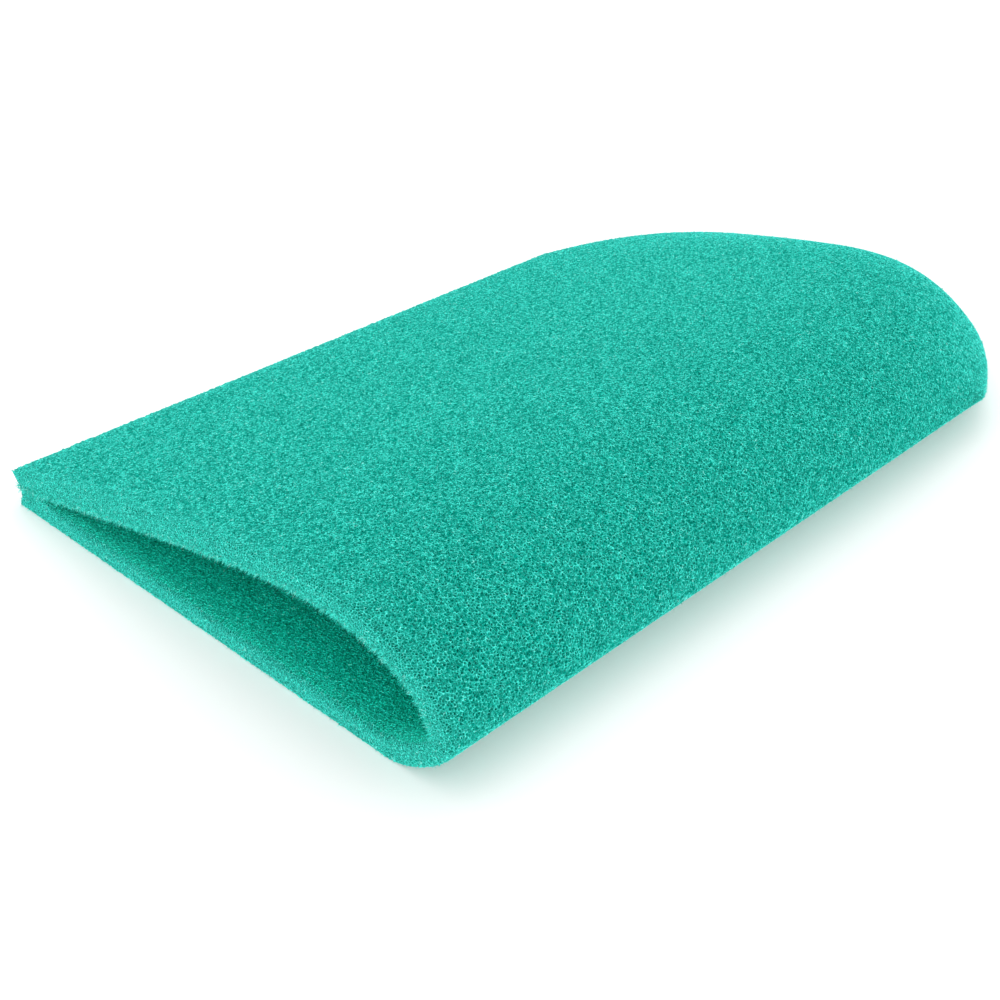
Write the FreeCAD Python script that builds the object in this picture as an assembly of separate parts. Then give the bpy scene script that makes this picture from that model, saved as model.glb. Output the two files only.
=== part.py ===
"""Foam filter sleeve: one sheet of open-cell filter foam folded into a flat pouch.

The sleeve lies on its lower panel. +X runs from the bonded side seam to the folded side, +Y from the
open mouth to the closed round end, +Z up. The origin is at the middle of the footprint, on the floor.
All lengths are in millimetres.
"""
import FreeCAD
import Part
import math
import os

Vector = FreeCAD.Vector

# Driving dimensions of the whole sleeve
OVERALL_WIDTH = 172.0
OVERALL_LENGTH = 289.0
MOUTH_HEIGHT = 36.0
FOAM_THICKNESS = 6.4
FOLD_THICKNESS = 7.2
SEAM_HEIGHT = 10.4
BOND_THICKNESS = 0.6
BOND_WIDTH = 5.0

# Shape of the open mouth, measured inwards from the fold's outermost line
CROWN_INSET = 39.0
CROWN_SOFTNESS = 6.4
ARCH_SLOPE = 0.24
FOLD_MID_HEIGHT = 13.9
BASE_INSET = 19.6
BORE_BASE_INSET = 23.0
UPPER_ROUNDING = 2.0
LOWER_ROUNDING = 1.48

# Cut edges of the side seam: the lower edge stands back, and a notch runs between the two sheets
LOWER_EDGE_SETBACK = 1.6
NOTCH_DEPTH = 3.6
SEAM_RAMP = 22.0

# Round closed end: half a superellipse, fuller towards the seam, with the arch coming down before it
END_CENTRE_X = 4.1
END_HALF_LENGTH = 127.0
END_SEAM_HALF_WIDTH = 93.8
END_SEAM_ROUNDING = 2.63
END_FOLD_HALF_WIDTH = 91.1
END_FOLD_ROUNDING = 2.03
CLOSING_RUN = 54.0

# Cross-section that the pouch comes down to at the cut edge of the round end
CLOSED_CROWN_HEIGHT = 11.3
CLOSED_FOLD_INSET = 1.5
CLOSED_MID_HEIGHT = 10.6
CLOSED_UPPER_ROUNDING = 3.8
CLOSED_LOWER_ROUNDING = 1.2

# How finely the curved skins are described
ARCH_POINTS = 11
FOLD_POINTS = 10
CLOSING_STEP = 8.0
PLAN_POINTS = 24
SPARE = 12.0
SPLIT_INSET = 30.0

# Places that follow from the driving dimensions
FOLD_X = OVERALL_WIDTH / 2
SEAM_X = -OVERALL_WIDTH / 2
MOUTH_Y = -OVERALL_LENGTH / 2
TIP_Y = OVERALL_LENGTH / 2
CROWN_X = FOLD_X - CROWN_INSET
BASE_X = FOLD_X - BASE_INSET
BORE_FOLD_X = FOLD_X - FOLD_THICKNESS
BORE_BASE_X = FOLD_X - BORE_BASE_INSET
CLOSED_FOLD_X = FOLD_X - CLOSED_FOLD_INSET
END_CENTRE_Y = TIP_Y - END_HALF_LENGTH
SPLIT_X = FOLD_X - SPLIT_INSET
HALF_BOND = BOND_THICKNESS / 2


def rounded(share, exponent):
    """Height share of a superellipse quarter at a width share, both from 0 to 1."""
    return max(0.0, 1.0 - share ** exponent) ** (1.0 / exponent)


def ramp(distance, run):
    """0 at the seam, rising smoothly to 1 once the distance reaches the run."""
    share = min(max(distance / run, 0.0), 1.0)
    return 1.0 - (1.0 - share) ** 2


def arch_height(x):
    """Outer face of the upper panel at the mouth, from the seam to the crown."""
    drop = math.hypot(ARCH_SLOPE * (x - CROWN_X), CROWN_SOFTNESS) - CROWN_SOFTNESS
    full_drop = math.hypot(ARCH_SLOPE * (SEAM_X - CROWN_X), CROWN_SOFTNESS) - CROWN_SOFTNESS
    return MOUTH_HEIGHT - drop * (MOUTH_HEIGHT - SEAM_HEIGHT) / full_drop


def end_shape(x):
    """Half width and rounding of the round end on this X's side of its middle."""
    if x < END_CENTRE_X:
        return END_SEAM_HALF_WIDTH, END_SEAM_ROUNDING
    return END_FOLD_HALF_WIDTH, END_FOLD_ROUNDING


def end_edge(x):
    """Y of the round end's cut edge at this X."""
    half_width, rounding = end_shape(x)
    share = min(abs(x - END_CENTRE_X) / half_width, 1.0)
    return END_CENTRE_Y + END_HALF_LENGTH * rounded(share, rounding)


def closing(x, y):
    """1 where the pouch is fully open, falling to 0 at the round end's cut edge."""
    return ramp(end_edge(x) - y, CLOSING_RUN)


def quarter(start, end, steps, flat_first, exponent):
    """Points on a superellipse quarter between two points; flat_first starts along X."""
    points = []
    for step in range(steps + 1):
        angle = math.pi / 2 * step / steps
        across = math.sin(angle) ** (2.0 / exponent)
        down = 1.0 - math.cos(angle) ** (2.0 / exponent)
        if not flat_first:
            across, down = down, across
        points.append((start[0] + (end[0] - start[0]) * across, start[1] + (end[1] - start[1]) * down))
    return points


def spread(start, end, count):
    return [start + (end - start) * i / count for i in range(count)]


def closed_top(x):
    """Upper face of the closed end at its cut edge."""
    if x <= CROWN_X:
        return SEAM_HEIGHT + (CLOSED_CROWN_HEIGHT - SEAM_HEIGHT) * ramp(x - SEAM_X, CROWN_X - SEAM_X)
    share = min((x - CROWN_X) / (CLOSED_FOLD_X - CROWN_X), 1.0)
    rise = CLOSED_CROWN_HEIGHT - CLOSED_MID_HEIGHT
    return CLOSED_MID_HEIGHT + rise * rounded(share, CLOSED_UPPER_ROUNDING)


def closed_underside(x):
    """Lower face of the closed end: flat on the floor, then curling up to the fold."""
    if x <= BASE_X:
        return 0.0
    share = min((x - BASE_X) / (CLOSED_FOLD_X - BASE_X), 1.0)
    return CLOSED_MID_HEIGHT * (1.0 - rounded(share, CLOSED_LOWER_ROUNDING))


def closed_middle(x):
    """Height where the two sheets meet at the closed end."""
    return (closed_top(x) + closed_underside(x)) / 2


def between(opened, closed, y):
    """Outline at y, from pairs of points at the open mouth and at the closed end."""
    result = []
    for (open_x, open_z), (closed_x, closed_z) in zip(opened, closed):
        share = closing(closed_x, y)
        x = closed_x + (open_x - closed_x) * share
        result.append((x, closed_z + (open_z - closed_z) * share))
    return result


def drawn_in(x, start, reach):
    """X at the closed end of a point that the fold's reach past start draws in."""
    return x if x < start else start + (x - start) * (reach - CLOSED_FOLD_INSET) / reach


def outer_top(y):
    """Upper panel's outer face at y, from the seam over the crown to the fold's outermost line."""
    opened = [(x, arch_height(x)) for x in spread(SEAM_X, CROWN_X, ARCH_POINTS)]
    opened += quarter((CROWN_X, MOUTH_HEIGHT), (FOLD_X, FOLD_MID_HEIGHT), FOLD_POINTS, True, UPPER_ROUNDING)
    closed = [drawn_in(x, CROWN_X, CROWN_INSET) for x, z in opened]
    return between(opened, [(x, closed_top(x)) for x in closed], y)


def outer_bottom(y):
    """Outer face below the fold at y, from its outermost line down to the flat base."""
    opened = quarter((FOLD_X, FOLD_MID_HEIGHT), (BASE_X, 0.0), FOLD_POINTS, False, LOWER_ROUNDING)
    closed = [drawn_in(x, BASE_X, BASE_INSET) for x, z in opened]
    return between(opened, [(x, closed_underside(x)) for x in closed], y)


def closed_bore(opened, offset):
    """Where each point of the hollow's face lies at the closed end, a little off the meeting height."""
    closed = [drawn_in(x, CROWN_X, BORE_FOLD_X - CROWN_X) for x, z in opened]
    return [(x, closed_middle(x) + offset) for x in closed]


def bore_top(y):
    """Upper face of the hollow at y, from beyond the seam to the inside of the fold."""
    slit = SEAM_HEIGHT / 2 + HALF_BOND
    opened = [(SEAM_X - SPARE, slit), (SEAM_X, slit)]
    for x in spread(SEAM_X, CROWN_X, ARCH_POINTS)[1:]:
        thin = (SEAM_HEIGHT - BOND_THICKNESS) / 2
        wall = thin + (FOAM_THICKNESS - thin) * ramp(x - SEAM_X, SEAM_RAMP)
        opened.append((x, arch_height(x) - wall))
    crown = (CROWN_X, MOUTH_HEIGHT - FOAM_THICKNESS)
    inside = (BORE_FOLD_X, FOLD_MID_HEIGHT + HALF_BOND)
    opened += quarter(crown, inside, FOLD_POINTS, True, UPPER_ROUNDING)
    return between(opened, closed_bore(opened, HALF_BOND), y)


def bore_bottom(y):
    """Lower face of the hollow at y, from the inside of the fold to beyond the seam."""
    slit = SEAM_HEIGHT / 2 - HALF_BOND
    inside = (BORE_FOLD_X, FOLD_MID_HEIGHT - HALF_BOND)
    opened = quarter(inside, (BORE_BASE_X, FOAM_THICKNESS), FOLD_POINTS, False, LOWER_ROUNDING)
    for x in reversed(spread(SEAM_X, BORE_BASE_X, ARCH_POINTS)[1:]):
        opened.append((x, slit + (FOAM_THICKNESS - slit) * ramp(x - SEAM_X, SEAM_RAMP)))
    opened += [(SEAM_X, slit), (SEAM_X - SPARE, slit)]
    return between(opened, closed_bore(opened, -HALF_BOND), y)


def spline(points, y):
    curve = Part.BSplineCurve()
    curve.interpolate([Vector(x, y, z) for x, z in points])
    return curve.toShape()


def line(start, end, y):
    return Part.makeLine(Vector(start[0], y, start[1]), Vector(end[0], y, end[1]))


def envelope_section(y):
    """Closed outline of the whole pouch at y, with the notch between the two seam edges."""
    top = outer_top(y)
    bottom = outer_bottom(y)
    notch = (SEAM_X + NOTCH_DEPTH, SEAM_HEIGHT / 2)
    lower_edge = (SEAM_X + LOWER_EDGE_SETBACK, 0.0)
    edges = [
        spline(top, y),
        spline(bottom, y),
        line(bottom[-1], lower_edge, y),
        line(lower_edge, notch, y),
        line(notch, top[0], y),
    ]
    return Part.Wire(edges)


def bore_section(y):
    """Closed outline of the hollow at y, down to the slit that the bond fills."""
    top = bore_top(y)
    bottom = bore_bottom(y)
    edges = [spline(top, y), line(top[-1], bottom[0], y), spline(bottom, y), line(bottom[-1], top[0], y)]
    return Part.Wire(edges)


def stations(first):
    """Y of each cross-section: far apart along the even part, closer where the end closes."""
    closing_start = end_edge(FOLD_X) - CLOSING_RUN
    steps = math.ceil((TIP_Y + SPARE - closing_start) / CLOSING_STEP)
    return [first] + [closing_start + CLOSING_STEP * i for i in range(steps + 1)]


def plan(inset):
    """Upright prism over the sleeve's footprint, with its round end and seam side set in by inset."""
    length = END_HALF_LENGTH - inset
    points = []
    for step in range(-PLAN_POINTS, PLAN_POINTS + 1):
        angle = math.pi / 2 * step / PLAN_POINTS
        half_width, rounding = end_shape(END_CENTRE_X + step)
        across = (half_width - inset) * abs(math.sin(angle)) ** (2.0 / rounding)
        along = length * abs(math.cos(angle)) ** (2.0 / rounding)
        points.append(Vector(END_CENTRE_X + math.copysign(across, step), END_CENTRE_Y + along, -SPARE))
    rim = Part.BSplineCurve()
    rim.interpolate(points)
    front = MOUTH_Y - 2 * SPARE
    front_corners = [Vector(end.x, front, -SPARE) for end in (points[-1], points[0])]
    straight = Part.makePolygon([points[-1]] + front_corners + [points[0]])
    wire = Part.Wire([rim.toShape()] + straight.Edges)
    prism = Part.Face(wire).extrude(Vector(0, 0, MOUTH_HEIGHT + 2 * SPARE))
    left = SEAM_X - SPARE if inset == 0 else SEAM_X + NOTCH_DEPTH + inset
    return side_of(prism, left, FOLD_X + SPARE)


def side_of(shape, low_x, high_x):
    """The part of a shape between two X planes."""
    size = 4 * OVERALL_LENGTH
    return shape.common(Part.makeBox(high_x - low_x, size, size, Vector(low_x, -size / 2, -size / 2)))


def build():
    envelope = Part.makeLoft([envelope_section(y) for y in stations(MOUTH_Y)], True, True)
    bore = Part.makeLoft([bore_section(y) for y in stations(MOUTH_Y - SPARE)], True, True)
    footprint = plan(0.0)
    foam = envelope.common(footprint).cut(bore)

    fold = side_of(foam, SPLIT_X, FOLD_X + SPARE)
    panels = side_of(foam, SEAM_X - SPARE, SPLIT_X).Solids
    panels.sort(key=lambda solid: solid.CenterOfMass.z)

    seam_band = bore.common(envelope).common(footprint).cut(plan(BOND_WIDTH))
    corner_y = end_edge(SEAM_X + NOTCH_DEPTH)
    seam_side = Part.makeBox(
        FOLD_X, corner_y - MOUTH_Y, 2 * MOUTH_HEIGHT, Vector(SEAM_X - SPARE, MOUTH_Y, -MOUTH_HEIGHT)
    )
    return {
        "upper_panel": panels[-1],
        "lower_panel": panels[0],
        "folded_side": fold,
        "side_seam_bond": seam_band.common(seam_side),
        "end_seam_bond": seam_band.cut(seam_side),
    }


os.makedirs("parts", exist_ok=True)
for name, shape in build().items():
    shape.exportStep("parts/" + name + ".step")
    box = shape.optimalBoundingBox()
    print(name, "solids", len(shape.Solids), "valid", shape.isValid(), "volume", round(shape.Volume, 1))
    corners = (box.XMin, box.XMax, box.YMin, box.YMax, box.ZMin, box.ZMax)
    print("   x %.2f %.2f  y %.2f %.2f  z %.2f %.2f" % corners)
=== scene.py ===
"""Looks of the foam filter sleeve: pored foam skins, cut edges and bonded seams, with studio and camera.

Lengths in this script are millimetres until a mesh is written, which is in metres.
"""

import bpy
import math
import numpy as np
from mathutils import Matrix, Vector
from mathutils.geometry import delaunay_2d_cdt


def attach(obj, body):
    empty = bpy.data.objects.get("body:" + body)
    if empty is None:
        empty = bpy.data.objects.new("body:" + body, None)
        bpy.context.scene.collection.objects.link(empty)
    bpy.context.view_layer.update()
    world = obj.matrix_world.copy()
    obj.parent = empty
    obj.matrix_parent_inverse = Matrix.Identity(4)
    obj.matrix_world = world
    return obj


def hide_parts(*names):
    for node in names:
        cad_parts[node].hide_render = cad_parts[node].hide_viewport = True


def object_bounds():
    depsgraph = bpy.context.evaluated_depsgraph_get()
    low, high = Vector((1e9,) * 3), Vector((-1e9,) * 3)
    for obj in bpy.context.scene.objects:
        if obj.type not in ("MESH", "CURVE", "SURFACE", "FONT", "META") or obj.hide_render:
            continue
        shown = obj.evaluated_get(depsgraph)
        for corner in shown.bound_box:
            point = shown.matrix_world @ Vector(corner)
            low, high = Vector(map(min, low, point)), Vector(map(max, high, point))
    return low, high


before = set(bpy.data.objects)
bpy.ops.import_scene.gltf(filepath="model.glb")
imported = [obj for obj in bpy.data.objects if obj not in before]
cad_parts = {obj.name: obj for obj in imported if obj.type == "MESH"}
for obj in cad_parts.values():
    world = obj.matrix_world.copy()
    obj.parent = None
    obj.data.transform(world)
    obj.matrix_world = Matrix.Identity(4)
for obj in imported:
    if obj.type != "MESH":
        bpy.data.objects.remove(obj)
cad_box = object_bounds()

MM = 0.001
SEED = 7
TINY = 1e-9         # keeps divisions safe
rng = np.random.default_rng(SEED)

# ---------------------------------------------------------------- sizes
LOW = np.array(cad_box[0]) / MM
HIGH = np.array(cad_box[1]) / MM
SEAM_X = LOW[0]
FOLD_X = -LOW[0]
MOUTH_Y = LOW[1]
TIP_Y = HIGH[1]
MOUTH_HEIGHT = 36.0
FOAM = 6.4                      # thickness of the sheet
SEAM_HEIGHT = 10.4              # both sheets together at the side seam
HALF_BOND = 0.3                 # half of the slit that the glue fills
BOND_WIDTH = 5.0                # how far in the glue reaches
CROWN_X = FOLD_X - 39.0         # highest line of the upper sheet
CROWN_SOFTNESS = 6.4            # the arch from seam to crown is a hyperbola with this rounding and slope,
ARCH_SLOPE = 0.24               # scaled to the height between them
FOLD_Z = 13.9                   # height at which the fold reaches furthest out
BASE_X = FOLD_X - 19.6          # the fold's curve comes down to the flat base here
BORE_FOLD_X = FOLD_X - 7.2      # the same two places on the hollow's face
BORE_BASE_X = FOLD_X - 23.0
UPPER_ROUNDING = 2.0            # exponents of the fold's curve above and below its furthest point
LOWER_ROUNDING = 1.48
FOOT_X = SEAM_X + 1.6           # the lower sheet's edge at the seam
NOTCH_X = SEAM_X + 3.6          # the sheets' sloping cut edges meet here
SEAM_RAMP = 22.0                # the sheets have their full thickness this far from the seam
SPLIT_X = FOLD_X - 30.0         # the folded side's pieces begin here

# round end: half a superellipse in plan, and the cross-section that the pouch comes down to
END_X = 4.1
END_HALF_LENGTH = 127.0
END_Y = TIP_Y - END_HALF_LENGTH
END_SEAM_SIDE = (93.8, 2.63)    # half width and exponent on each side of END_X
END_FOLD_SIDE = (91.1, 2.03)
CLOSING_RUN = 54.0              # the pouch comes down over this distance before its edge
CLOSED_FOLD_X = FOLD_X - 1.5
CLOSED_CROWN_Z = 11.3
CLOSED_FOLD_Z = 10.6
CLOSED_UPPER_ROUNDING = 3.8
CLOSED_LOWER_ROUNDING = 1.2

# ---------------------------------------------------------------- foam
COUNT = 300                 # samples on each stretch of an outline
TOP_SOFTNESS = 1.5          # radius of the mouth's outer edge over the arch and the fold
FOOT_SOFTNESS = 0.5         # the same along the base
FOOT_SOFTNESS_RUN = 25.0    # how far past the fold's middle the radius takes to get there
INNER_SOFTNESS = 2.6        # radius of the mouth's inner edge, down to nothing where the sheets meet
INNER_SOFTNESS_RUN = 16.0
INNER_SOFTNESS_LEAST = 0.05     # smallest share of it
END_SOFTNESS = 0.8          # radius of the edge round the closed end
PRESSED = (8.0, 17.0)       # the sheets touch this near to the seam, and are apart this far from it
FOLD_GAP_RUN = 4.0          # the slit between the sheets closes over this distance at the fold

PORE = 0.80                 # distance between pores
JITTER = 0.42               # how far a pore strays from an even pattern, as a share of PORE
PIT = 0.62                  # depth of a pore's middle below the struts around it
PIT_LEAST = 0.6             # shares of PIT that every pore has, and that only the darkest have besides
PIT_BESIDES = 0.7
RIDGE = 0.17                # how much the strut crossings stand up and down
CUT_ROUGHER = 0.5           # how much more they do at a cut edge
SKIN_LIFT = 0.14            # how far the fluffy skin stands over the cut foam
CALM_EDGE = 0.45            # pores flatten out this near to the sheet's own edges
MARGIN = 4.5                # how far the pattern of pores runs on beyond the sheet before it is trimmed
OVERHANG = 1.0              # how far a pore's middle may lie beyond the sheet
LONGEST = 2.4               # longest side of a facet
LONGER_BY_DEPTH = 0.25      # how much longer it may be for each millimetre deeper than FINE_DEPTH
SMALLEST = 2e-3             # smallest area of a facet
END_WALL_REACH = 9.0        # the pattern covers the cut wall of the round end as well
NORMAL_STEP = 0.35

FINE_DEPTH = 62.0           # how far into the mouth the pores are fully modelled
THINNING_RUN = 8.0          # deeper in, pores get fewer over this distance, down to a smallest share
DEEPEST_SHARE = 0.03
FLATTENING_RUN = 25.0       # and shallower over this one, down to a smallest share
DEEPEST_RELIEF = 0.25
HIDDEN_INSET = 6.0          # the base, this far inside its edges, is modelled with fewer and larger pores
HIDDEN_SHARE = 0.5

EDGE_FADE = 2.6             # how far the cut edges' painted light, which stands in for light through the thin foam, and their rougher struts reach
FRINGE = 1.6                # width of the mouth's inner edge that is left frayed
FRINGE_LONGER = 2.0         # broken strut ends on that edge, against those elsewhere
FRINGE_THICKER = 1.4
FRINGE_ROUGHER = 3.0        # how much more the strut crossings stand up and down there
STUBS_ON_FRINGE = 0.9       # share of strut crossings with a broken strut end
STUBS_ON_CUTS = 0.45
STUBS_ELSEWHERE = 0.05
CUT_REACH = 1.0             # the skin this near to a cut edge counts as cut
STUB_RADIUS = (0.06, 0.12)
STUB_LENGTH = (0.35, 1.0)
STUB_LEAN = 0.75
STUB_ROOT = 0.1

CORNER_INSET = 0.22         # how far the plain wall at the seam's far corner lies behind the pores
CORNER_ROUGHNESS = 0.1
CORNER_LIP = 0.12           # its edge stands back from the skin by this share of its height
CORNER_COUNT = 150
CORNER_STEPS = 16
CORNER_SPREAD = (-0.5, -0.22)   # stretch of the round end that the wall follows, in half turns
BOND_LIP = 0.35             # how far the glue line stands back from the edge of the sheets
BOND_PINCH = 0.12           # how much thinner it is at that edge than the slit
BOND_SINK = 0.15            # how far the glue soaks into each sheet
BOND_WANDER = 0.45          # how much its edge wanders
BOND_STEP = 0.7
BOND_WINDOW = 9             # that edge's wandering is smoothed over so many steps
BOND_FROM_MOUTH = 0.1       # how far the glue stops short of the mouth, the side seam and the fold
BOND_FROM_SEAM = 0.2
BOND_FROM_FOLD = 0.6
END_BOND_COUNT = 620

# values that the foam's material reads at each point: how deep a pore is there, a random number,
# a random number that sinks a pore deeper and gives it more painted shade, and how near a cut edge is
LABELS = ("depth", "chance", "pore_shade", "near_cut")

# ---------------------------------------------------------------- studio, in metres and watts
FLOOR = 4.0                 # half the floor's side
FLOOR_GLOW = 0.22           # keeps the floor near white under the object's own shade
LAMP_PLACE = (-0.25, 0.25, 1.1)
LAMP_SIZE = 0.9
LAMP_POWER = 1.6
CAMERA_PLACE = (0.2527, -0.3029, 0.2159)
CAMERA_LENS = 53.29
CAMERA_DOWN = 31.63         # degrees below level
CAMERA_HEADING = (0.6946, 0.7194)


def rounded(share, exponent):
    """Height of a superellipse of half width 1 and height 1, at a share of its half width."""
    return np.maximum(0.0, 1.0 - np.clip(share, 0, 1) ** exponent) ** (1.0 / exponent)


def ramp(distance, run):
    """0 at no distance, rising steeply at first and levelling off at 1 at the end of the run."""
    return 1.0 - (1.0 - np.clip(distance / run, 0.0, 1.0)) ** 2


def arch_drop(x):
    return np.hypot(ARCH_SLOPE * (x - CROWN_X), CROWN_SOFTNESS) - CROWN_SOFTNESS


def arch_height(x):
    """Height of the mouth's outer skin between the seam and the crown."""
    return MOUTH_HEIGHT - arch_drop(x) * (MOUTH_HEIGHT - SEAM_HEIGHT) / arch_drop(SEAM_X)


def end_shape(x):
    """Half width and rounding of the round end on each side of its middle."""
    seam_side = x < END_X
    return [np.where(seam_side, a, b) for a, b in zip(END_SEAM_SIDE, END_FOLD_SIDE)]


def end_norm(x, y):
    """Distance beyond the round end's cut edge (below 0 inside), and the outward direction."""
    half_width, power = end_shape(x)
    dx = np.abs(x - END_X) / half_width
    dy = np.maximum(y - END_Y, 0) / END_HALF_LENGTH
    norm = (dx ** power + dy ** power) ** (1 / power) + TINY
    gx = np.sign(x - END_X) * (dx / norm) ** (power - 1) / half_width
    gy = (dy / norm) ** (power - 1) / END_HALF_LENGTH
    size = np.hypot(gx, gy) + 1e-12
    return (norm - 1) / size, gx / size, gy / size


def end_edge(x):
    """Y of the round end's cut edge."""
    half_width, power = end_shape(x)
    return END_Y + END_HALF_LENGTH * rounded(np.abs(x - END_X) / half_width, power)


def closing(x, y):
    """1 where the pouch is fully open, 0 at the round end's cut edge."""
    return ramp(end_edge(x) - y, CLOSING_RUN)


def quarter(start, end, flat_first, exponent, angle):
    """X and Z of a quarter of a superellipse, which leaves start level, or upright if not flat_first."""
    across = np.sin(angle) ** (2.0 / exponent)
    down = 1.0 - np.cos(angle) ** (2.0 / exponent)
    if not flat_first:
        across, down = down, across
    return start[0] + (end[0] - start[0]) * across, start[1] + (end[1] - start[1]) * down


def closed_top(x):
    """Height of the upper skin where the pouch is closed."""
    over_fold = CLOSED_FOLD_Z + (CLOSED_CROWN_Z - CLOSED_FOLD_Z) * rounded(
        np.maximum(x - CROWN_X, 0) / (CLOSED_FOLD_X - CROWN_X), CLOSED_UPPER_ROUNDING
    )
    arch = SEAM_HEIGHT + (CLOSED_CROWN_Z - SEAM_HEIGHT) * ramp(x - SEAM_X, CROWN_X - SEAM_X)
    return np.where(x < CROWN_X, arch, over_fold)


def closed_underside(x):
    share = np.maximum(x - BASE_X, 0) / (CLOSED_FOLD_X - BASE_X)
    return CLOSED_FOLD_Z * (1.0 - rounded(share, CLOSED_LOWER_ROUNDING))


def closed_middle(x):
    return (closed_top(x) + closed_underside(x)) / 2


def drawn_in(x, start, reach):
    """X at the closed end of a point that the fold's reach past start draws in."""
    return np.where(x < start, x, start + (x - start) * (reach - (FOLD_X - CLOSED_FOLD_X)) / reach)


def outer_outline():
    """Outer skin from the top of the seam round to its foot: X and Z at the mouth, X and Z at the end."""
    part = np.linspace(0, 1, COUNT, endpoint=False)
    arch_x = SEAM_X + (CROWN_X - SEAM_X) * part
    over = quarter((CROWN_X, MOUTH_HEIGHT), (FOLD_X, FOLD_Z), True, UPPER_ROUNDING, part * math.pi / 2)
    under = quarter((FOLD_X, FOLD_Z), (BASE_X, 0.0), False, LOWER_ROUNDING, part * math.pi / 2)
    foot_x = BASE_X + (FOOT_X - BASE_X) * np.linspace(0, 1, COUNT + 1)
    x = np.concatenate([arch_x, over[0], under[0], foot_x])
    z = np.concatenate([arch_height(arch_x), over[1], under[1], 0 * foot_x])
    end_x = np.concatenate([
        arch_x,
        drawn_in(over[0], CROWN_X, FOLD_X - CROWN_X),
        drawn_in(under[0], BASE_X, FOLD_X - BASE_X),
        foot_x,
    ])
    end_z = np.where(np.arange(len(x)) < 2 * COUNT, closed_top(end_x), closed_underside(end_x))
    return x, z, end_x, end_z


def inner_outline():
    """Face of the hollow, sampled like the outer skin."""
    thin = SEAM_HEIGHT / 2 - HALF_BOND
    part = np.linspace(0, 1, COUNT, endpoint=False)
    outer_x = SEAM_X + (CROWN_X - SEAM_X) * part
    arch_x = outer_x + (NOTCH_X - SEAM_X) * (1 - ramp(outer_x - SEAM_X, SEAM_RAMP))
    arch_z = arch_height(arch_x) - thin - (FOAM - thin) * ramp(arch_x - SEAM_X, SEAM_RAMP)
    fold = (BORE_FOLD_X, FOLD_Z)
    over = quarter((CROWN_X, MOUTH_HEIGHT - FOAM), fold, True, UPPER_ROUNDING, part * math.pi / 2)
    under = quarter(fold, (BORE_BASE_X, FOAM), False, LOWER_ROUNDING, part * math.pi / 2)
    foot_x = BORE_BASE_X + (NOTCH_X - BORE_BASE_X) * np.linspace(0, 1, COUNT + 1)
    foot_z = thin + (FOAM - thin) * ramp(foot_x - SEAM_X, SEAM_RAMP)
    above = np.interp(foot_x, arch_x, arch_z) - 2 * HALF_BOND
    apart = np.clip((foot_x - NOTCH_X - PRESSED[0]) / (PRESSED[1] - PRESSED[0]), 0, 1)
    foot_z = np.maximum(foot_z, above + (foot_z - above) * apart)
    x = np.concatenate([arch_x, over[0], under[0], foot_x])
    z = np.concatenate([arch_z, over[1], under[1], foot_z])
    end_x = drawn_in(x, CROWN_X, BORE_FOLD_X - CROWN_X)
    side = np.where(np.arange(len(x)) < 2 * COUNT, 1, -1)
    return x, z, end_x, closed_middle(end_x) + side * HALF_BOND


OUTER = outer_outline()
INNER = inner_outline()
ALONG = np.concatenate([[0], np.cumsum(np.hypot(np.diff(OUTER[0]), np.diff(OUTER[1])))])
U_END = ALONG[-1]
U_FOLD = ALONG[2 * COUNT]
TOP_WALL = math.hypot(NOTCH_X - SEAM_X, SEAM_HEIGHT / 2)
FOOT_WALL = math.hypot(NOTCH_X - FOOT_X, SEAM_HEIGHT / 2)


def outline_point(outline, u, y):
    """X and Z of an outline's point at y, between its places at the mouth and at the closed end."""
    x, z, end_x, end_z = (np.interp(u, ALONG, values) for values in outline)
    share = closing(end_x, y)
    return end_x + (x - end_x) * share, end_z + (z - end_z) * share


def sheet_x(u):
    return np.interp(u, ALONG, OUTER[2])


def to_end_edge(u, y):
    """Nearest point of the round end's edge along the sheet, and the distance to it (below 0 inside)."""
    step = 0.05
    eu, ey = u.copy(), y.copy()
    inside = end_norm(sheet_x(eu), ey)[0]
    beyond = inside > 0
    for _ in range(4):
        gap, gx, gy = end_norm(sheet_x(eu), ey)
        slope = gx * (sheet_x(eu + step) - sheet_x(eu - step)) / (2 * step)
        move = np.where(beyond, gap, 0) / (slope * slope + gy * gy + 1e-4)
        eu = np.clip(eu - move * slope, 0, U_END)
        ey = ey - move * gy
    return eu, ey, np.where(beyond, np.hypot(eu - u, ey - y), inside)


def soft_corner(distance, radius):
    """Rounds a corner between two faces: distance is along the surface, over 0 on the first face.

    Gives how far the point lies from the corner along each of the two faces.
    """
    turn = math.pi / 4 * (1 + np.clip(distance / radius, -1, 1))
    first = np.where(distance > radius, distance, radius * (1 - np.cos(turn)))
    second = np.where(distance < -radius, -distance, radius * (1 - np.sin(turn)))
    return np.where(distance < -radius, 0, first), np.where(distance > radius, 0, second)


def across_mouth(uc, v):
    """Y of a point of the sheet, before the round end trims it, and its depth in the mouth's cut face."""
    foot = np.clip((uc - U_FOLD) / FOOT_SOFTNESS_RUN, 0, 1)
    lift, into = soft_corner(v, TOP_SOFTNESS + (FOOT_SOFTNESS - TOP_SOFTNESS) * foot)
    from_seam = np.minimum(uc, U_END - uc)
    apart = np.clip((from_seam - PRESSED[0]) / INNER_SOFTNESS_RUN, INNER_SOFTNESS_LEAST, 1)
    past, back = soft_corner(-v - FOAM, INNER_SOFTNESS * apart)
    outer_half = v > -FOAM / 2
    return MOUTH_Y + np.where(outer_half, lift, past), np.where(outer_half, into, FOAM - back)


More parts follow.
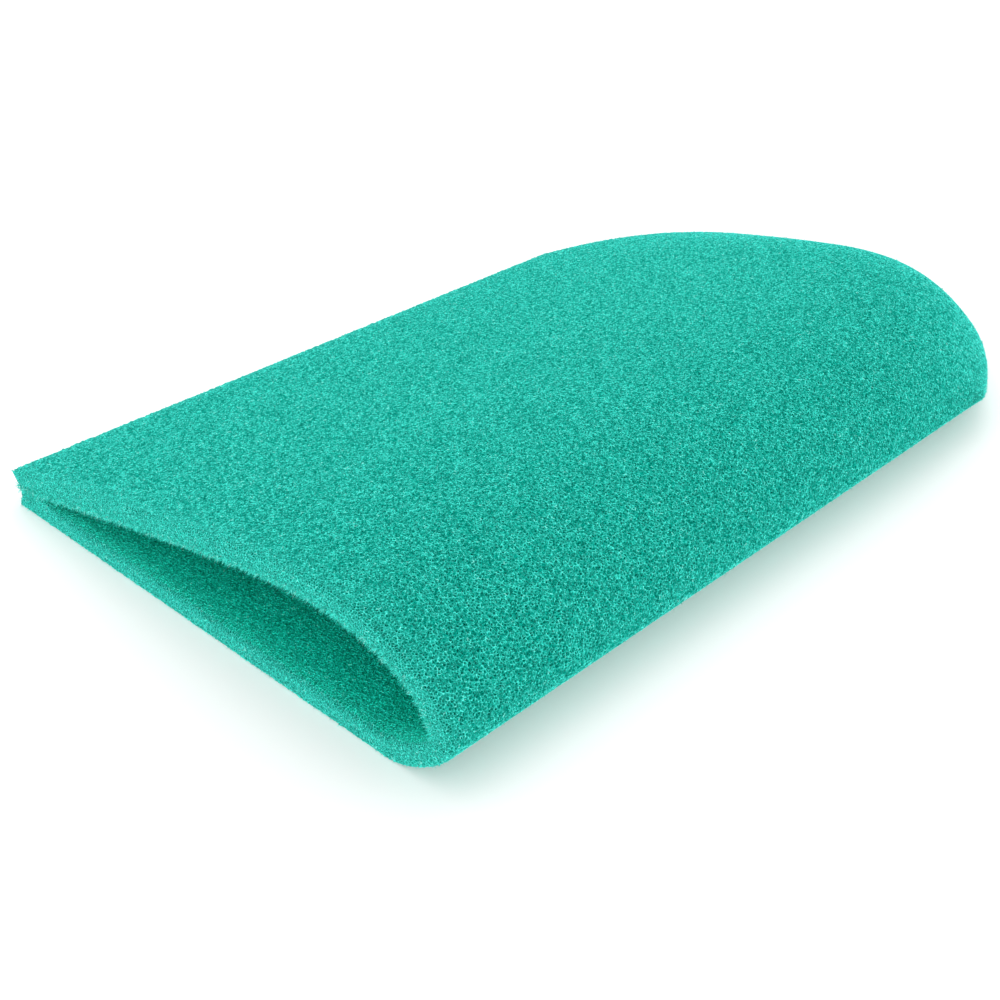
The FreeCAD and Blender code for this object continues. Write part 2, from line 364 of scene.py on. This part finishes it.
def outer_skin(uc, y):
    """Point of the outer skin or of the cut wall at the round end.

    Also gives how far beyond the round end's edge the point is along the sheet, and that wall's height.
    """
    top = uc < U_FOLD
    eu, ey, beyond = to_end_edge(uc, np.maximum(y, MOUTH_Y))
    x, z = outline_point(OUTER, eu, ey)
    edge_x = np.where(top, SEAM_X, FOOT_X)
    share = np.clip((x - edge_x) / (NOTCH_X - edge_x), 0, 1)
    gap = HALF_BOND * np.clip((BORE_FOLD_X - x) / FOLD_GAP_RUN, 0, 1)
    wall = np.maximum((closed_top(x) - closed_underside(x)) / 2 * share - gap, 0)
    edge = np.minimum(END_SOFTNESS, wall / 2)
    curl = edge - np.sqrt(np.maximum(edge ** 2 - np.clip(edge + beyond, 0, edge) ** 2, 0))
    drop = np.where(beyond > 0, edge + np.minimum(beyond, wall) * (1 - edge / (wall + TINY)), curl)
    return x, ey, z + np.where(top, -drop, drop), beyond, wall


def place(u, v):
    """Point of the foam's surface for a point of the flat sheet, and how far inside the sheet that is.

    u runs across: over the seam edge (below 0), the arch, the fold, the underside, the foot's edge.
    v runs along: from the mouth's outer rim to the round end and down its cut wall; below 0 it crosses
    the mouth's cut face and goes into the bore. Also gives how far beyond the round end's edge the point
    is along the sheet.
    """
    uc = np.clip(u, 0, U_END)
    y, into = across_mouth(uc, v)
    x, yy, z, beyond, wall = outer_skin(uc, y)

    # cut face of the mouth, then the bore
    ox, oz = outline_point(OUTER, uc, y)
    ix, iz = outline_point(INNER, uc, y)
    share = np.clip(into / FOAM, 0, 1)
    x = np.where(share > 0, ox + (ix - ox) * share, x)
    z = np.where(share > 0, oz + (iz - oz) * share, z)
    yy = np.where(share > 0, np.minimum(y, end_edge(x)), yy)

    # cut edges along the side seam
    outer_room = wall - beyond
    for side, past, width, corner_x, corner_u in (
        (u < 0, -u, TOP_WALL, SEAM_X, 0.0),
        (u > U_END, u - U_END, FOOT_WALL, FOOT_X, U_END),
    ):
        along = np.clip(past / width, 0, 1)
        sx = corner_x + (NOTCH_X - corner_x) * along
        sy = np.minimum(np.maximum(y, MOUTH_Y), end_edge(sx))
        cz = outline_point(OUTER, corner_u + 0 * u, sy)[1]
        nz = outline_point(INNER, corner_u + 0 * u, sy)[1]
        x, yy = np.where(side, sx, x), np.where(side, sy, yy)
        z = np.where(side, cz + (nz - cz) * along, z)
        outer_room = np.where(side, end_edge(sx) - y, outer_room)

    outer_room = np.minimum(outer_room, np.minimum(u + TOP_WALL, U_END + FOOT_WALL - u))
    bore_room = np.minimum(np.minimum(u, U_END - u), end_edge(x) - y)
    return np.stack([x, yy, z], -1), np.where(v >= 0, outer_room, bore_room), beyond


def sheet_normal(u, v):
    across = place(u + NORMAL_STEP, v)[0] - place(u - NORMAL_STEP, v)[0]
    along = place(u, v + NORMAL_STEP)[0] - place(u, v - NORMAL_STEP)[0]
    normal = np.cross(across, along)
    return normal / (np.linalg.norm(normal, axis=1, keepdims=True) + TINY)


def inside_base(sites):
    """How far inside the flat base a point of the sheet lies, from the fold or from the seam."""
    return np.minimum(sites[:, 0] - ALONG[3 * COUNT], U_END - sites[:, 0])


def pore_sites():
    """Scattered pore middles over the whole flat sheet, thinned out deep in the bore."""
    row = PORE * math.sqrt(3) / 2
    u = np.arange(-TOP_WALL - MARGIN, U_END + FOOT_WALL + MARGIN, PORE)
    longest = TIP_Y - MOUTH_Y
    v = np.arange(-FOAM - longest, longest + END_WALL_REACH, row)
    uu, vv = np.meshgrid(u, v)
    uu = uu + (np.arange(len(v)) % 2)[:, None] * PORE / 2
    sites = np.stack([uu.ravel(), vv.ravel()], -1)
    sites += rng.uniform(-JITTER, JITTER, sites.shape) * PORE
    _, room, _ = place(sites[:, 0], sites[:, 1])
    depth = -sites[:, 1] - FOAM
    keep = np.where(depth < FINE_DEPTH, 1.0, (1 + (depth - FINE_DEPTH) / THINNING_RUN) ** -2)
    keep = np.maximum(keep, DEEPEST_SHARE)
    hidden = (inside_base(sites) > HIDDEN_INSET) & (sites[:, 1] > HIDDEN_INSET)
    keep = np.where(hidden, HIDDEN_SHARE, keep)
    return sites[(room > -MARGIN) & (rng.random(len(sites)) < keep)]


def cells(sites):
    """Pore cells of the flat sheet: points (pore middles, then cell corners) and fan triangles."""
    found = delaunay_2d_cdt([Vector(p) for p in sites], [], [], 0, 1e-6)
    points = np.array([tuple(p) for p in found[0]])
    tris = np.array(found[2])
    a, b, c = points[tris[:, 0]], points[tris[:, 1]], points[tris[:, 2]]

    # each cell corner is the middle of the circle through three pores, held near them
    d = 2 * (a[:, 0] * (b[:, 1] - c[:, 1]) + b[:, 0] * (c[:, 1] - a[:, 1]) + c[:, 0] * (a[:, 1] - b[:, 1]))
    d = np.where(np.abs(d) < TINY, TINY, d)
    aa, bb, cc = ((p * p).sum(1) for p in (a, b, c))
    cx = (aa * (b[:, 1] - c[:, 1]) + bb * (c[:, 1] - a[:, 1]) + cc * (a[:, 1] - b[:, 1])) / d
    cy = (aa * (c[:, 0] - b[:, 0]) + bb * (a[:, 0] - c[:, 0]) + cc * (b[:, 0] - a[:, 0])) / d
    middle = (a + b + c) / 3
    size = np.sqrt(np.abs(d))
    corner = np.stack([cx, cy], -1) - middle
    reach = np.linalg.norm(corner, axis=1)
    corner *= np.minimum(1, 0.8 * size / (reach + TINY))[:, None]
    corner += middle

    # two triangles that share a side give a fan triangle to the pore at each end of it
    count = len(points)
    ends = np.concatenate([tris[:, [0, 1]], tris[:, [1, 2]], tris[:, [2, 0]]])
    owner = np.tile(np.arange(len(tris)), 3)
    key = ends.min(1) * count + ends.max(1)
    order = np.argsort(key, kind="stable")
    key, owner = key[order], owner[order]
    pair = np.nonzero(key[1:] == key[:-1])[0]
    first, second = owner[pair], owner[pair + 1]
    sides = [key[pair] // count, key[pair] % count]
    fans = np.concatenate([np.stack([s, count + first, count + second], -1) for s in sides])
    flat = np.concatenate([points, corner])
    p, q, r = flat[fans[:, 0]], flat[fans[:, 1]], flat[fans[:, 2]]
    turn = (q[:, 0] - p[:, 0]) * (r[:, 1] - p[:, 1]) - (q[:, 1] - p[:, 1]) * (r[:, 0] - p[:, 0])
    fans[turn < 0] = fans[turn < 0][:, [0, 2, 1]]
    return flat, fans, count


def near_cut_edge(u, v, beyond):
    """1 on the sheet's cut edges, fading out over a few millimetres on the skins beside them."""
    from_mouth = np.where(v < -FOAM, -v - FOAM, np.maximum(v, 0))
    from_end = np.where(v < 0, from_mouth, np.maximum(-beyond, 0))
    from_seam = np.clip(np.minimum(u, U_END - u), 0, None)
    return np.exp(-np.minimum(np.minimum(from_mouth, from_end), from_seam) / EDGE_FADE)


def foam_surface():
    """The whole foam skin: pore middles sunk below a net of struts, with values for the material."""
    flat, fans, count = cells(pore_sites())
    u, v = flat[:, 0], flat[:, 1]
    point, room, beyond = place(u, v)
    normal = sheet_normal(u, v)
    is_pore = np.arange(len(flat)) < count
    depth_in = -v - FOAM
    shallow = np.clip(1 - (depth_in - FINE_DEPTH) / FLATTENING_RUN, DEEPEST_RELIEF, 1)
    calm = np.clip(room / CALM_EDGE, 0, 1) * shallow
    chance = rng.random(len(flat))
    pore_shade = rng.random(len(flat))
    near_cut = near_cut_edge(u, v, beyond)
    pit = -PIT * (PIT_LEAST + PIT_BESIDES * pore_shade ** 2)
    frayed = np.exp(-np.abs(v + FOAM) / FRINGE) * (u < U_FOLD)
    rough = RIDGE * (1 + CUT_ROUGHER * near_cut + FRINGE_ROUGHER * frayed)
    ridge = rough * (chance - 0.5) + SKIN_LIFT
    point = point + normal * (np.where(is_pore, pit, ridge) * calm)[:, None]

    p, q, r = point[fans[:, 0]], point[fans[:, 1]], point[fans[:, 2]]
    area = np.linalg.norm(np.cross(q - p, r - p), axis=1) / 2
    side = np.max([np.linalg.norm(d, axis=1) for d in (q - p, r - q, p - r)], axis=0)
    sparse = np.clip(depth_in[fans[:, 0]] - FINE_DEPTH, 0, None) * LONGER_BY_DEPTH
    on_sheet = (room[fans[:, 0]] > -OVERHANG) & (calm[fans].max(1) > 0)
    fans = fans[(area > SMALLEST) & (side < LONGEST + sparse) & on_sheet]
    return {
        "flat": flat,
        "point": point,
        "faces": fans,
        "depth": np.where(is_pore, calm, 0.0),
        "chance": chance,
        "pore_shade": np.where(is_pore, pore_shade, 0.5),
        "near_cut": near_cut,
        "normal": normal,
        "beyond": beyond,
    }


def add_stubs(skin):
    """Broken strut ends that stand off the foam: many on the cut edges, a few elsewhere."""
    strut = np.unique(skin["faces"][:, 1:])
    u, v = skin["flat"][strut].T
    at_end = (v > 0) & (skin["beyond"][strut] > -CUT_REACH)
    cut = ((v > -FOAM) & (v < CUT_REACH)) | (u < 0) | (u > U_END) | at_end
    share = np.where(cut, STUBS_ON_CUTS, np.where(v > -FOAM - FINE_DEPTH / 2, STUBS_ELSEWHERE, 0))
    fringe = (np.abs(v + FOAM) < FRINGE) & (u > 0) & (u < U_FOLD)
    share = np.where(fringe, STUBS_ON_FRINGE, share)
    chosen = rng.random(len(strut)) < share
    base = np.concatenate([strut[chosen], strut[fringe]])
    frayed = np.concatenate([fringe[chosen], fringe[fringe]])[:, None]
    count = len(base)
    lean = skin["normal"][base] + rng.normal(0, STUB_LEAN, (count, 3))
    lean /= np.linalg.norm(lean, axis=1, keepdims=True)
    side = np.cross(lean, rng.normal(0, 1, (count, 3)))
    side /= np.linalg.norm(side, axis=1, keepdims=True)
    other = np.cross(lean, side)
    radius = rng.uniform(*STUB_RADIUS, (count, 1)) * np.where(frayed, FRINGE_THICKER, 1.0)
    foot = skin["point"][base] - STUB_ROOT * skin["normal"][base]
    corners = [
        foot + radius * (math.cos(turn) * side + math.sin(turn) * other)
        for turn in (0, 2 * math.pi / 3, 4 * math.pi / 3)
    ]
    length = rng.uniform(*STUB_LENGTH, (count, 1)) * np.where(frayed, FRINGE_LONGER, 1.0)
    corners.append(foot + lean * length)
    first = len(skin["point"])
    a, b, c, tip = (first + k * count + np.arange(count) for k in range(4))
    sides = [np.stack(corner, -1) for corner in ((a, b, tip), (b, c, tip), (c, a, tip))]
    skin["faces"] = np.concatenate([skin["faces"]] + sides)
    skin["point"] = np.concatenate([skin["point"]] + corners)
    for label in ("flat", *LABELS):
        skin[label] = np.concatenate([skin[label]] + [skin[label][base]] * 4)


def end_line(turn):
    """X and Y along the round end's edge, from the seam's side at -pi/2 to the fold's at pi/2."""
    half_width, power = end_shape(END_X + turn)
    x = END_X + np.sign(turn) * half_width * np.abs(np.sin(turn)) ** (2 / power)
    return x, END_Y + END_HALF_LENGTH * np.abs(np.cos(turn)) ** (2 / power)


def corner_wall(top):
    """Cut wall at the far corner of the seam, where the unrolled sheet can't cover both walls that meet."""
    x, y = end_line(np.linspace(*CORNER_SPREAD, CORNER_COUNT) * math.pi)
    corner_x = SEAM_X if top else FOOT_X
    chosen = x > corner_x
    x, y = x[chosen], y[chosen]
    _, gx, gy = end_norm(x, y)
    face = closed_top(x) if top else closed_underside(x)
    share = np.clip((x - corner_x) / (NOTCH_X - corner_x), 0, 1)
    meeting = closed_middle(x) + (HALF_BOND if top else -HALF_BOND)
    lip = face + (meeting - face) * CORNER_LIP
    rows = []
    for step in range(CORNER_STEPS + 1):
        inset = CORNER_INSET + rng.uniform(-CORNER_ROUGHNESS, CORNER_ROUGHNESS, len(x))
        z = lip + (face + (meeting - face) * share - lip) * step / CORNER_STEPS
        rows.append(np.stack([x - gx * inset, y - gy * inset, z], -1))
    points = np.stack(rows, 1).reshape(-1, 3)
    row = CORNER_STEPS + 1
    first = (np.arange(len(x) - 1)[:, None] * row + np.arange(CORNER_STEPS)).ravel()
    across = first + row
    lower = np.stack([first, across, across + 1], -1)
    upper = np.stack([first, across + 1, first + 1], -1)
    count = len(points)
    values = {"depth": rng.random(count), "chance": rng.random(count), "pore_shade": rng.random(count)}
    return points, np.concatenate([lower, upper]), {**values, "near_cut": np.ones(count)}


def hollow_z(x, y, top):
    """Height of the hollow's upper or lower face near the seam."""
    half = slice(0, 2 * COUNT) if top else slice(4 * COUNT, 2 * COUNT, -1)
    opened = np.interp(x, INNER[0][half], INNER[1][half])
    closed = closed_middle(x) + (HALF_BOND if top else -HALF_BOND)
    return closed + (opened - closed) * closing(x, y)


def bond_strip(x, y, inward_x, inward_y):
    """Closed strip of glue along a seam, filling the slit between the sheets just inside the edge."""
    count = len(x)
    loose = rng.normal(0, 1, count + BOND_WINDOW - 1)
    wander = np.convolve(loose, np.ones(BOND_WINDOW) / BOND_WINDOW, "valid")
    loop = []
    for share, top in ((0, 1), (0.1, 1), (0.5, 1), (1, 1), (1, 0), (0.5, 0), (0.1, 0), (0, 0)):
        reach = BOND_LIP + share * (BOND_WIDTH - BOND_LIP) + (BOND_WANDER * wander if share == 0 else 0)
        px, py = x + inward_x * reach, y + inward_y * reach
        pinch = BOND_PINCH if share == 0 else -BOND_SINK
        loop.append(np.stack([px, py, hollow_z(px, py, top) + (-pinch if top else pinch)], -1))
    ring = len(loop)
    points = np.stack(loop, 1).reshape(-1, 3)
    here = np.arange(count - 1)[:, None] * ring + np.arange(ring)
    after = np.arange(count - 1)[:, None] * ring + (np.arange(ring) + 1) % ring
    sides = [np.stack([here, after, after + ring], -1), np.stack([here, after + ring, here + ring], -1)]
    caps = [(0, k + 1, k) for k in range(1, ring - 1)]
    last = (count - 1) * ring
    caps += [(last, last + k, last + k + 1) for k in range(1, ring - 1)]
    return points, np.concatenate([s.reshape(-1, 3) for s in sides] + [np.array(caps)])


def side_bond():
    y = np.arange(MOUTH_Y + BOND_FROM_MOUTH, end_edge(NOTCH_X), BOND_STEP)
    return bond_strip(NOTCH_X + 0 * y, y, 1 + 0 * y, 0 * y)


def end_bond():
    x, y = end_line(np.linspace(-0.5, 0.5, END_BOND_COUNT) * math.pi)
    chosen = (x > NOTCH_X + BOND_FROM_SEAM) & (x < BORE_FOLD_X - BOND_FROM_FOLD)
    x, y = x[chosen], y[chosen]
    _, gx, gy = end_norm(x, y)
    return bond_strip(x, y, -gx, -gy)


def write_mesh(name, points, faces, attributes=(), flat=None):
    used, faces = np.unique(faces, return_inverse=True)
    faces = faces.reshape(-1, 3)
    mesh = bpy.data.meshes.new(name)
    mesh.vertices.add(len(used))
    mesh.vertices.foreach_set("co", (points[used] * MM).astype(np.float32).ravel())
    mesh.loops.add(faces.size)
    mesh.loops.foreach_set("vertex_index", faces.astype(np.int32).ravel())
    mesh.polygons.add(len(faces))
    mesh.polygons.foreach_set("loop_start", np.arange(0, faces.size, 3, dtype=np.int32))
    mesh.update(calc_edges=True)
    for label, values in dict(attributes).items():
        layer = mesh.attributes.new(label, "FLOAT", "POINT")
        layer.data.foreach_set("value", values[used].astype(np.float32))
    mesh.shade_flat()
    if flat is not None:
        spot = flat[used]
        spot = (spot - spot.min(0)) / (spot.max(0) - spot.min(0))
        layer = mesh.uv_layers.new(name="OFBake")
        layer.data.foreach_set("uv", spot[faces.ravel()].astype(np.float32).ravel())
    piece = bpy.data.objects.new(name, mesh)
    bpy.context.scene.collection.objects.link(piece)
    return piece


# ---------------------------------------------------------------- materials
def new_material(name):
    material = bpy.data.materials.new(name)
    material.use_nodes = True
    return material, material.node_tree.nodes, material.node_tree.links


def attribute(nodes, label):
    node = nodes.new("ShaderNodeAttribute")
    node.attribute_name = label
    return node.outputs["Fac"]


def times(nodes, links, first, second):
    node = nodes.new("ShaderNodeMath")
    node.operation = "MULTIPLY"
    links.new(first, node.inputs[0])
    if isinstance(second, float):
        node.inputs[1].default_value = second
    else:
        links.new(second, node.inputs[1])
    return node.outputs[0]


def span(nodes, links, value, low, high, to_low=0.0, to_high=1.0):
    node = nodes.new("ShaderNodeMapRange")
    node.interpolation_type = "SMOOTHSTEP"
    links.new(value, node.inputs["Value"])
    for socket, number in zip(("From Min", "From Max", "To Min", "To Max"), (low, high, to_low, to_high)):
        node.inputs[socket].default_value = number
    return node.outputs["Result"]


def mix(nodes, links, share, first, second):
    node = nodes.new("ShaderNodeMix")
    node.data_type = "RGBA"
    links.new(share, node.inputs[0])
    for socket, value in zip((node.inputs[6], node.inputs[7]), (first, second)):
        if isinstance(value, tuple):
            socket.default_value = (*value, 1.0)
        else:
            links.new(value, socket)
    return node.outputs[2]


def noise(nodes, links, scale, detail=2.0, roughness=0.5):
    where = nodes.new("ShaderNodeTexCoord")
    node = nodes.new("ShaderNodeTexNoise")
    links.new(where.outputs["Object"], node.inputs["Vector"])
    node.inputs["Scale"].default_value = scale
    node.inputs["Detail"].default_value = detail
    node.inputs["Roughness"].default_value = roughness
    return node.outputs["Fac"]


# colours of the outer skins: deep is painted shade in the pores, strut_bright is partly painted highlight on
# struts, glint is painted glints
OUTSIDE = {
    "strut_dim": (0.001, 0.40, 0.315),
    "strut_bright": (0.085, 0.91, 0.79),
    "middle": (0.000, 0.40, 0.305),
    "deep": (0.000, 0.205, 0.152),
    "glint": (0.36, 1.0, 0.92),
}
# the hollow's face: the same foam painted lighter all over, painted light that stands in for light coming
# through the thin foam
INSIDE_PAINTED_LIGHT = {
    "strut_dim": (0.000, 0.50, 0.365),
    "strut_bright": (0.025, 1.00, 0.82),
    "middle": (0.000, 0.52, 0.375),
    "deep": (0.000, 0.33, 0.23),
    "glint": (0.30, 1.0, 0.85),
}
# painted light on cut edges, standing in for light that comes through the thin foam there
CUT_PAINTED_LIGHT = (0.11, 0.95, 0.84)
FOAM_SPECULAR = 0.02
BOND_DARK = (0.010, 0.50, 0.39)
BOND_LIGHT = (0.08, 0.78, 0.66)
BOND_SPECULAR = 0.3

# scales of the patterns, in cells per metre
COARSE_WEB = 900.0
FINE_WEB = 1800.0
PATCHES = 750.0
GLITTER = 4300.0
BOND_GRAIN = 900.0
FLOOR_PATCHES = 6.0


def web_distance(nodes, links, scale):
    """Distance from the lines of a net of struts, in cells of the net."""
    where = nodes.new("ShaderNodeTexCoord")
    web = nodes.new("ShaderNodeTexVoronoi")
    web.feature = "DISTANCE_TO_EDGE"
    web.inputs["Scale"].default_value = scale
    links.new(where.outputs["Object"], web.inputs["Vector"])
    return web.outputs["Distance"]


def hole_colour(nodes, links, look, pore_shade, near_cut):
    """Inside of a pore: two nets of struts deeper in the foam, over painted shade behind them."""
    coarse = web_distance(nodes, links, COARSE_WEB)
    fine = web_distance(nodes, links, FINE_WEB)
    hole = mix(nodes, links, span(nodes, links, pore_shade, 0.35, 0.95), look["middle"], look["deep"])
    hole = mix(nodes, links, span(nodes, links, fine, 0.18, 0.42, 0.0, 0.5), hole, look["deep"])
    hole = mix(nodes, links, span(nodes, links, fine, 0.05, 0.18, 0.55, 0.0), hole, look["strut_dim"])
    hole = mix(nodes, links, span(nodes, links, coarse, 0.04, 0.14, 0.55, 0.0), hole, look["strut_bright"])
    # pores near a cut edge are painted lighter: painted light for light that comes through the thin foam
    # there
    return mix(nodes, links, times(nodes, links, near_cut, 0.35), hole, look["strut_dim"])


def shaded(nodes, links, colour, shade):
    """The colour made darker or lighter by a number."""
    grey = nodes.new("ShaderNodeCombineColor")
    for socket in grey.inputs[:3]:
        links.new(shade, socket)
    tint = nodes.new("ShaderNodeMix")
    tint.data_type = "RGBA"
    tint.blend_type = "MULTIPLY"
    tint.inputs[0].default_value = 1.0
    links.new(colour, tint.inputs[6])
    links.new(grey.outputs[0], tint.inputs[7])
    return tint.outputs[2]


def foam_material(name, look):
    material, nodes, links = new_material(name)
    shader = nodes["Principled BSDF"]
    depth, chance, pore_shade, near_cut = (attribute(nodes, label) for label in LABELS)
    hole = hole_colour(nodes, links, look, pore_shade, near_cut)

    # struts at the surface, lighter than the painted shade of the pores, each of a random brightness that is
    # partly painted highlight
    strut = mix(nodes, links, span(nodes, links, chance, 0.2, 0.85), look["strut_dim"], look["strut_bright"])
    # struts near a cut edge take the painted light of the cut edges
    strut = mix(nodes, links, times(nodes, links, near_cut, 0.6), strut, CUT_PAINTED_LIGHT)
    front = span(nodes, links, depth, 0.08, 0.36, 1.0, 0.0)
    colour = mix(nodes, links, front, hole, strut)
    # painted glints: a few of the brightest struts are painted near white as highlights
    painted_glint = times(nodes, links, span(nodes, links, chance, 0.87, 0.96), front)
    painted_glint = times(nodes, links, painted_glint, 0.75)
    colour = mix(nodes, links, painted_glint, colour, look["glint"])

    # light and dark patches a pore or two across, and painted glitter: fine brightness that stands in for
    # light catching single strands
    patch = span(nodes, links, noise(nodes, links, PATCHES, 3.0, 0.65), 0.3, 0.7, 0.96, 1.04)
    grain = span(nodes, links, noise(nodes, links, GLITTER, 0.0, 0.5), 0.34, 0.66, 0.62, 1.32)
    colour = shaded(nodes, links, colour, times(nodes, links, patch, grain))
    links.new(colour, shader.inputs["Base Color"])
    links.new(span(nodes, links, depth, 0.0, 0.6, 0.42, 0.8), shader.inputs["Roughness"])
    shader.inputs["Specular IOR Level"].default_value = FOAM_SPECULAR
    return material


def bond_material():
    material, nodes, links = new_material("seam_bond_line")
    shader = nodes["Principled BSDF"]
    grain = noise(nodes, links, BOND_GRAIN, 3.0, 0.6)
    colour = mix(nodes, links, span(nodes, links, grain, 0.35, 0.65), BOND_DARK, BOND_LIGHT)
    links.new(colour, shader.inputs["Base Color"])
    links.new(span(nodes, links, grain, 0.3, 0.7, 0.40, 0.7), shader.inputs["Roughness"])
    shader.inputs["Specular IOR Level"].default_value = BOND_SPECULAR
    return material


def floor_material():
    material, nodes, links = new_material("studio_floor")
    shader = nodes["Principled BSDF"]
    shader.inputs["Roughness"].default_value = 0.9
    patch = noise(nodes, links, FLOOR_PATCHES)
    shade = mix(nodes, links, patch, (0.90, 0.90, 0.90), (0.93, 0.93, 0.93))
    links.new(shade, shader.inputs["Base Color"])
    shader.inputs["Emission Color"].default_value = (1.0, 1.0, 1.0, 1.0)
    shader.inputs["Emission Strength"].default_value = FLOOR_GLOW
    return material


# ---------------------------------------------------------------- pieces
def fit_foam(piece, node, material):
    piece.data.materials.append(material)
    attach(piece, "root")
    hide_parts(node)


skin = foam_surface()
add_stubs(skin)
outside = foam_material("green_filter_foam", OUTSIDE)
# the bore's material is the same foam painted lighter: painted light for light that comes through the thin
# foam
inside = foam_material("green_filter_foam_bore_painted_light", INSIDE_PAINTED_LIGHT)
middle = skin["flat"][skin["faces"][:, 0]]
fold = place(middle[:, 0], middle[:, 1])[0][:, 0] > SPLIT_X
top = middle[:, 0] < U_FOLD
bore = middle[:, 1] < -FOAM
values = {label: skin[label] for label in LABELS}
for node, region in (
    ("upper_panel", ~fold & top),
    ("lower_panel", ~fold & ~top),
    ("folded_side", fold),
):
    for ending, chosen, material in (("foam", region & ~bore, outside), ("bore_painted_light", region & bore, inside)):
        piece = write_mesh(f"{node}_{ending}", skin["point"], skin["faces"][chosen], values, skin["flat"])
        fit_foam(piece, node, material)

for name, node, on_top in (
    ("upper_corner_wall", "upper_panel", True),
    ("lower_corner_wall", "lower_panel", False),
):
    fit_foam(write_mesh(name, *corner_wall(on_top)), node, outside)

bond = bond_material()
for name, (points, faces) in (("side_seam_bond", side_bond()), ("end_seam_bond", end_bond())):
    piece = write_mesh(name + "_line", points, faces)
    piece.data.materials.append(bond)
    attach(piece, "root")
    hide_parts(name)

# ---------------------------------------------------------------- studio
floor_mesh = bpy.data.meshes.new("floor")
corners = [(-FLOOR, -FLOOR, 0), (FLOOR, -FLOOR, 0), (FLOOR, FLOOR, 0), (-FLOOR, FLOOR, 0)]
floor_mesh.from_pydata(corners, [], [(0, 1, 2, 3)])
floor = bpy.data.objects.new("floor", floor_mesh)
bpy.context.scene.collection.objects.link(floor)
floor_mesh.materials.append(floor_material())

world = bpy.data.worlds.new("studio")
bpy.context.scene.world = world
world.use_nodes = True
backdrop = world.node_tree.nodes["Background"]
backdrop.inputs["Color"].default_value = (1.0, 1.0, 1.0, 1.0)
backdrop.inputs["Strength"].default_value = 1.0

light = bpy.data.lights.new("overhead", "AREA")
light.shape = "SQUARE"
light.size = LAMP_SIZE
light.energy = LAMP_POWER
lamp = bpy.data.objects.new("overhead", light)
lamp.location = LAMP_PLACE
lamp.rotation_euler = (-Vector(LAMP_PLACE)).to_track_quat("-Z", "Y").to_euler()
bpy.context.scene.collection.objects.link(lamp)

camera_data = bpy.data.cameras.new("camera")
camera_data.lens = CAMERA_LENS
camera_data.sensor_width = 36.0
camera = bpy.data.objects.new("camera", camera_data)
camera.location = CAMERA_PLACE
camera.rotation_euler = (math.radians(90 - CAMERA_DOWN), 0.0, math.atan2(*CAMERA_HEADING))
bpy.context.scene.collection.objects.link(camera)
bpy.context.scene.camera = camera
bpy.context.scene.view_settings.view_transform = "Standard"
